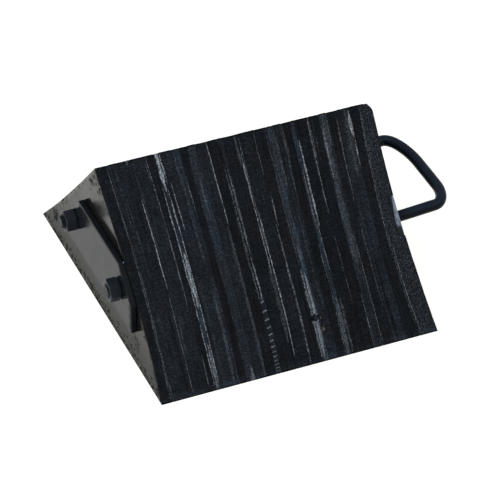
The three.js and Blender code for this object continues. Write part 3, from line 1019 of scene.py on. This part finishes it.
def make_nut(side, material, wear_and_highlight):
    node = f"nut_{side}"
    low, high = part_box(node)
    centre = ROD_CENTRES[side]
    segments = 144
    turn = angles(segments)
    outer = hex_radius(turn, corner_angle(node))
    bore = ROD_RADIUS + 0.15 * MM
    face_radius = NUT_ACROSS_FLATS / 2 * 0.955
    rings = [(low.x + 0.9 * MM, bore), (low.x, bore + 0.9 * MM), (low.x, face_radius - 0.3 * MM)]
    for step in np.linspace(0, 3.0 * MM, 13):
        cone = face_radius + step * math.sqrt(3)
        rings.append((low.x + step + (0.08 * MM if step == 0 else 0), np.minimum(outer, cone)))
    for step in (0.45, 0.7):
        rings.append((low.x + (high.x - low.x) * step, outer))
    for step in np.linspace(2.4 * MM, 0.2 * MM, 9):
        cone = face_radius + step * math.sqrt(3)
        rings.append((high.x - step, np.minimum(outer, cone)))
    rings += [(high.x, face_radius - 0.2 * MM), (high.x, bore + 0.6 * MM), (high.x - 0.6 * MM, bore)]
    nut = turned(f"hex_nut_{side}", centre, rings, segments, highlight_rows=NUT_HIGHLIGHT_ROWS)
    stand_for(nut, node, "nut_steel", material, wear_and_highlight)


HANDLE_REACH = 71.8 * MM
HANDLE_BENDS = {"front": (17.7 * MM, 33.6 * MM), "back": (20.0 * MM, 60.2 * MM)}
HANDLE_RISE = math.radians(4.0)
HANDLE_GAP = 0.6 * MM
BAR_RADIUS = 6.6 * MM


def handle_path(step):
    """Points along the handle's middle line, from the front foot to the back one."""
    shift = (ROD_CENTRES["front"].y + ROD_CENTRES["back"].y) / 2
    half = (ROD_CENTRES["back"].y - ROD_CENTRES["front"].y) / 2
    points = []
    for side, sign in (("front", -1), ("back", 1)):
        out, across = HANDLE_BENDS[side]
        leg = HANDLE_REACH - out
        run = [(x, half) for x in np.linspace(-HANDLE_GAP, leg, round(leg / step))[:-1]]
        arcs = math.ceil(math.hypot(out, across) * 1.2 / step)
        for turn in np.linspace(0, math.pi / 2, arcs + 1):
            run.append((leg + out * math.sin(turn), half - across * (1 - math.cos(turn))))
        straight = np.arange(step, half - across, step)
        run += [(HANDLE_REACH, half - across - s) for s in straight]
        run = [(x, sign * y) for x, y in run]
        points += run if side == "front" else run[::-1]
    origin = Vector((PLATE_HIGH.x + HANDLE_GAP, shift, ROD_CENTRES["front"].z))
    return [
        origin + Vector((x * math.cos(HANDLE_RISE), y, x * math.sin(HANDLE_RISE)))
        for x, y in points
    ]


def make_handle(material):
    """A round bar swept along the handle's line, a little flattened inside the bends."""
    path = handle_path(2.2 * MM)
    segments = 36
    up = Vector((-math.sin(HANDLE_RISE), 0, math.cos(HANDLE_RISE)))
    turn = angles(segments)
    vertices = []
    for i, point in enumerate(path):
        ahead = path[min(i + 1, len(path) - 1)]
        behind = path[max(i - 1, 0)]
        direction = (ahead - behind).normalized()
        sideways = direction.cross(up).normalized()
        bend = 0.0
        if 0 < i < len(path) - 1:
            bend = min(1.0, (ahead - point).angle(point - behind) * 10)
        for angle in turn:
            wobble = 0.06 * MM * math.sin(3 * angle + i * 0.35)
            radius = BAR_RADIUS - 0.1 * MM + wobble * 0.5
            flat = 1 - 0.03 * bend * abs(math.cos(angle))
            aside = sideways * radius * flat * math.cos(angle)
            vertices.append(point + aside + up * radius * math.sin(angle))
    faces = [tuple(range(segments))] + bands(len(path), segments)
    faces.append(tuple((len(path) - 1) * segments + i for i in range(segments)))
    piece = make_object("carry_handle", vertices, faces, sharp_angle=60)
    stand_for(piece, "handle", "handle_steel", material)


def make_weld(side, material):
    """A fillet bead round a handle leg, laid in overlapping ripples."""
    node = f"handle_weld_{side}"
    low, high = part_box(node)
    size = high.x - low.x
    segments = 120
    turn = angles(segments)
    ripple = 0.5 + 0.5 * np.abs(np.sin(turn * 8 + 0.4 * np.sin(turn * 3)))
    swell = 0.9 + 0.1 * np.sin(turn * 2 + 1) * np.sin(turn * 5)
    inner = BAR_RADIUS - 0.3 * MM
    reach = (high.y - low.y) / 2 - BAR_RADIUS
    rings = []
    foot = PLATE_HIGH.x - 0.2 * MM
    for share in np.linspace(0, 1, 9):
        angle = share * math.pi / 2
        bulge = 0.86 + 0.14 * ripple
        x = foot + (size + 0.4 * MM) * (1 - math.cos(angle) ** 1.3) * swell * bulge
        radius = BAR_RADIUS + reach * (1 - math.sin(angle) ** 1.3) * swell * bulge
        rings.append((x, radius))
    rings.append((foot + size * 0.8, inner))
    rings.append((foot, inner))
    stand_for(turned(f"weld_{side}", ROD_CENTRES[side], rings, segments), node, "weld", material)


# ---- make all
skin = moulded_skin()
for number in range(1, PLY_COUNT + 1):
    make_ply(number, cut_rubber, skin)

# The nut-end plate's rim gets a painted highlight at the upper corner of its front cut, on the rubber side.
cut_corner = (NUT_PLATE_HIGH.x, NUT_PLATE_LOW.y + PLATE_CUTS["front"], NUT_PLATE_HIGH.z)
BLUE_PAINT = (0.66, 0.96, 1.6)
plate_paint = black_paint("plate_paint", 0.17, 0.009, 0.057)
rim_paint = black_paint("plate_rim_paint", 0.5, 0.008, 0.05, chips_and_glints=[(cut_corner, 1.6 * MM)])
rod_paint = black_paint("rod_paint", 0.4, 0.008, 0.12)
nut_paint = black_paint("nut_paint", 0.32, 0.0145, 0.14, (0.76, 0.98, 1.4))
# The handle paint takes painted light on its upper side and painted shade underneath.
handle_paint = black_paint("handle_paint", 0.33, 0.0105, 0.06, BLUE_PAINT, painted_light_from_above=True)
# Paler paint for the rims of rod ends and nut faces: a painted highlight.
edge_highlight_paint = black_paint("painted_edge_highlight", 0.5, 0.030, 0.08)
weld_paint = black_paint("weld_paint", 0.45, 0.010, 0.06, BLUE_PAINT)
make_plate("clamp_plate_nut_end", rim_paint, plate_paint, 900)
make_plate("clamp_plate_handle_end", rim_with_painted_highlight(), plate_paint, 910)
for side in ("front", "back"):
    make_rod(side, rod_paint, edge_highlight_paint)
    make_nut(side, nut_paint, edge_highlight_paint)
    make_weld(side, weld_paint)
make_handle(handle_paint)


# ---- stage
def make_floor():
    size = 6.0
    mesh = bpy.data.meshes.new("floor")
    corners = [(-size, -size, 0), (size, -size, 0), (size, size, 0), (-size, size, 0)]
    mesh.from_pydata(corners, [], [(0, 1, 2, 3)])
    floor = bpy.data.objects.new("floor", mesh)
    floor.location.z = -0.3 * MM
    scene.collection.objects.link(floor)
    material, _, _ = new_material(
        "floor", Base_Color=(0.25, 0.25, 0.25, 1), Roughness=0.9, Specular_IOR_Level=0.0,
        Emission_Color=(1.0, 1.01, 0.965, 1), Emission_Strength=0.9)
    mesh.materials.append(material)


def outward(azimuth, elevation):
    """The direction out from the part, in degrees round from the front and upwards."""
    azimuth, elevation = math.radians(azimuth), math.radians(elevation)
    level = math.cos(elevation)
    return Vector((math.sin(azimuth) * level, -math.cos(azimuth) * level, math.sin(elevation)))


def make_light(name, azimuth, elevation, distance, size, power, colour=(1, 1, 1)):
    out = outward(azimuth, elevation)
    data = bpy.data.lights.new(name, "AREA")
    data.shape = "RECTANGLE"
    data.size, data.size_y = size
    data.energy = power
    data.color = colour
    light = bpy.data.objects.new(name, data)
    light.location = out * distance + Vector((0, 0, HEIGHT / 2))
    light.rotation_euler = (-out).to_track_quat("-Z", "Y").to_euler()
    scene.collection.objects.link(light)


def make_camera():
    data = bpy.data.cameras.new("camera")
    data.sensor_width = 36.0
    data.lens = 216.75
    data.clip_end = 100
    camera = bpy.data.objects.new("camera", data)
    camera.location = (-1.04647, -2.51906, 2.08601)
    camera.rotation_euler = (-outward(-22.91, 37.01)).to_track_quat("-Z", "Y").to_euler()
    scene.collection.objects.link(camera)
    scene.camera = camera


make_floor()
make_light("key", -65, 58, 2.2, (1.3, 0.9), 26)
make_light("fill", 50, 45, 2.6, (1.6, 1.2), 14, (0.92, 0.96, 1.0))
make_camera()
world = bpy.data.worlds.new("studio")
world.use_nodes = True
world.node_tree.nodes["Background"].inputs["Color"].default_value = (0.93, 0.96, 1.0, 1)
world.node_tree.nodes["Background"].inputs["Strength"].default_value = 0.45
scene.world = world
scene.view_settings.view_transform = "Standard"
